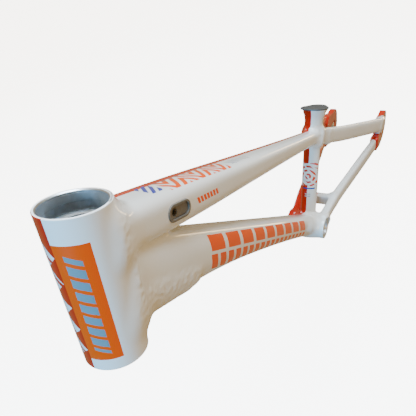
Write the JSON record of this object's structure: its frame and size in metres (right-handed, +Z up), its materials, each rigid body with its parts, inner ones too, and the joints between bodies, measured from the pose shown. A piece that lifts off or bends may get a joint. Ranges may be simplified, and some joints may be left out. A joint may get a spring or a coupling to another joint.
{
  "type": "bmx race bike frame",
  "caption": "Bare aluminium BMX race frame: wide head tube, formed top and down tubes, slim seat tube with wedge clamp, rear stays and dropouts with sliding axle blocks.",
  "frame": {"origin": "centre of the bottom bracket shell", "axes": "+X forwards to the head tube, +Y to the rider's left along the bottom bracket, +Z up"},
  "size_m": [0.924, 0.1472, 0.4613],
  "materials": {
    "white_enamel": "gloss",
    "red_enamel": "gloss",
    "machined_aluminium": "turned",
    "black_steel": "black oxide",
    "dark_rubber": "matt"
  },
  "bodies": {
    "frame": {"bottom_bracket_shell": "white_enamel", "cable_exit_grommet": "dark_rubber", "cable_port_frame": "dark_rubber", "cable_port_plug": "dark_rubber", "chainstay_bridge": "white_enamel", "chainstay_left": "white_enamel", "chainstay_right": "red_enamel", "down_tube": "white_enamel", "down_tube_gusset": "white_enamel", "dropout_left": "red_enamel", "dropout_right": "red_enamel", "head_tube": "white_enamel", "seat_clamp_housing": "white_enamel", "seat_tube": "white_enamel", "seatstay_bridge": "white_enamel", "seatstay_left": "white_enamel", "seatstay_right": "red_enamel", "top_tube": "white_enamel"},
    "seat_cover": {"seat_tube_cover": "dark_rubber"},
    "clamp_wedge": {"seat_clamp_wedge": "machined_aluminium"},
    "clamp_bolt": {"seat_clamp_bolt": "black_steel"},
    "axle_block_left": {"axle_block_left": "machined_aluminium"},
    "axle_block_right": {"axle_block_right": "machined_aluminium"},
    "tug_screw_left": {"tug_screw_left": "black_steel"},
    "tug_screw_right": {"tug_screw_right": "black_steel"}
  },
  "joints": [
    {"name": "cover_lift", "type": "slide", "parent": "frame", "child": "seat_cover", "axis": [-0.3256, 0, 0.9455], "range_m": [0, 0.02]},
    {"name": "wedge_slide", "type": "slide", "parent": "frame", "child": "clamp_wedge", "axis": [-0.3256, 0, 0.9455], "range_m": [-0.0028, 0.0075]},
    {"name": "clamp_bolt_turn", "type": "hinge", "parent": "frame", "child": "clamp_bolt", "pos_m": [-0.08001, 0, 0.1734], "axis": [-0.3256, 0, 0.9455], "range_deg": [-1300, 3400]},
    {"name": "axle_block_slide_left", "type": "slide", "parent": "frame", "child": "axle_block_left", "axis": [1, 0, 0], "range_m": [-0.0064, 0.0064]},
    {"name": "tug_screw_turn_left", "type": "hinge", "parent": "frame", "child": "tug_screw_left", "pos_m": [-0.42, 0.0615, -0.022], "axis": [1, 0, 0], "range_deg": [-2900, 2900]},
    {"name": "axle_block_slide_right", "type": "slide", "parent": "frame", "child": "axle_block_right", "axis": [1, 0, 0], "range_m": [-0.0064, 0.0064]},
    {"name": "tug_screw_turn_right", "type": "hinge", "parent": "frame", "child": "tug_screw_right", "pos_m": [-0.42, -0.0615, -0.022], "axis": [1, 0, 0], "range_deg": [-2900, 2900]}
  ],
  "couplings": [
    {"joint": "clamp_bolt_turn", "follows": "wedge_slide", "rad_per_m": 7854},
    {"joint": "tug_screw_turn_left", "follows": "axle_block_slide_left", "rad_per_m": 7854},
    {"joint": "tug_screw_turn_right", "follows": "axle_block_slide_right", "rad_per_m": 7854}
  ]
}
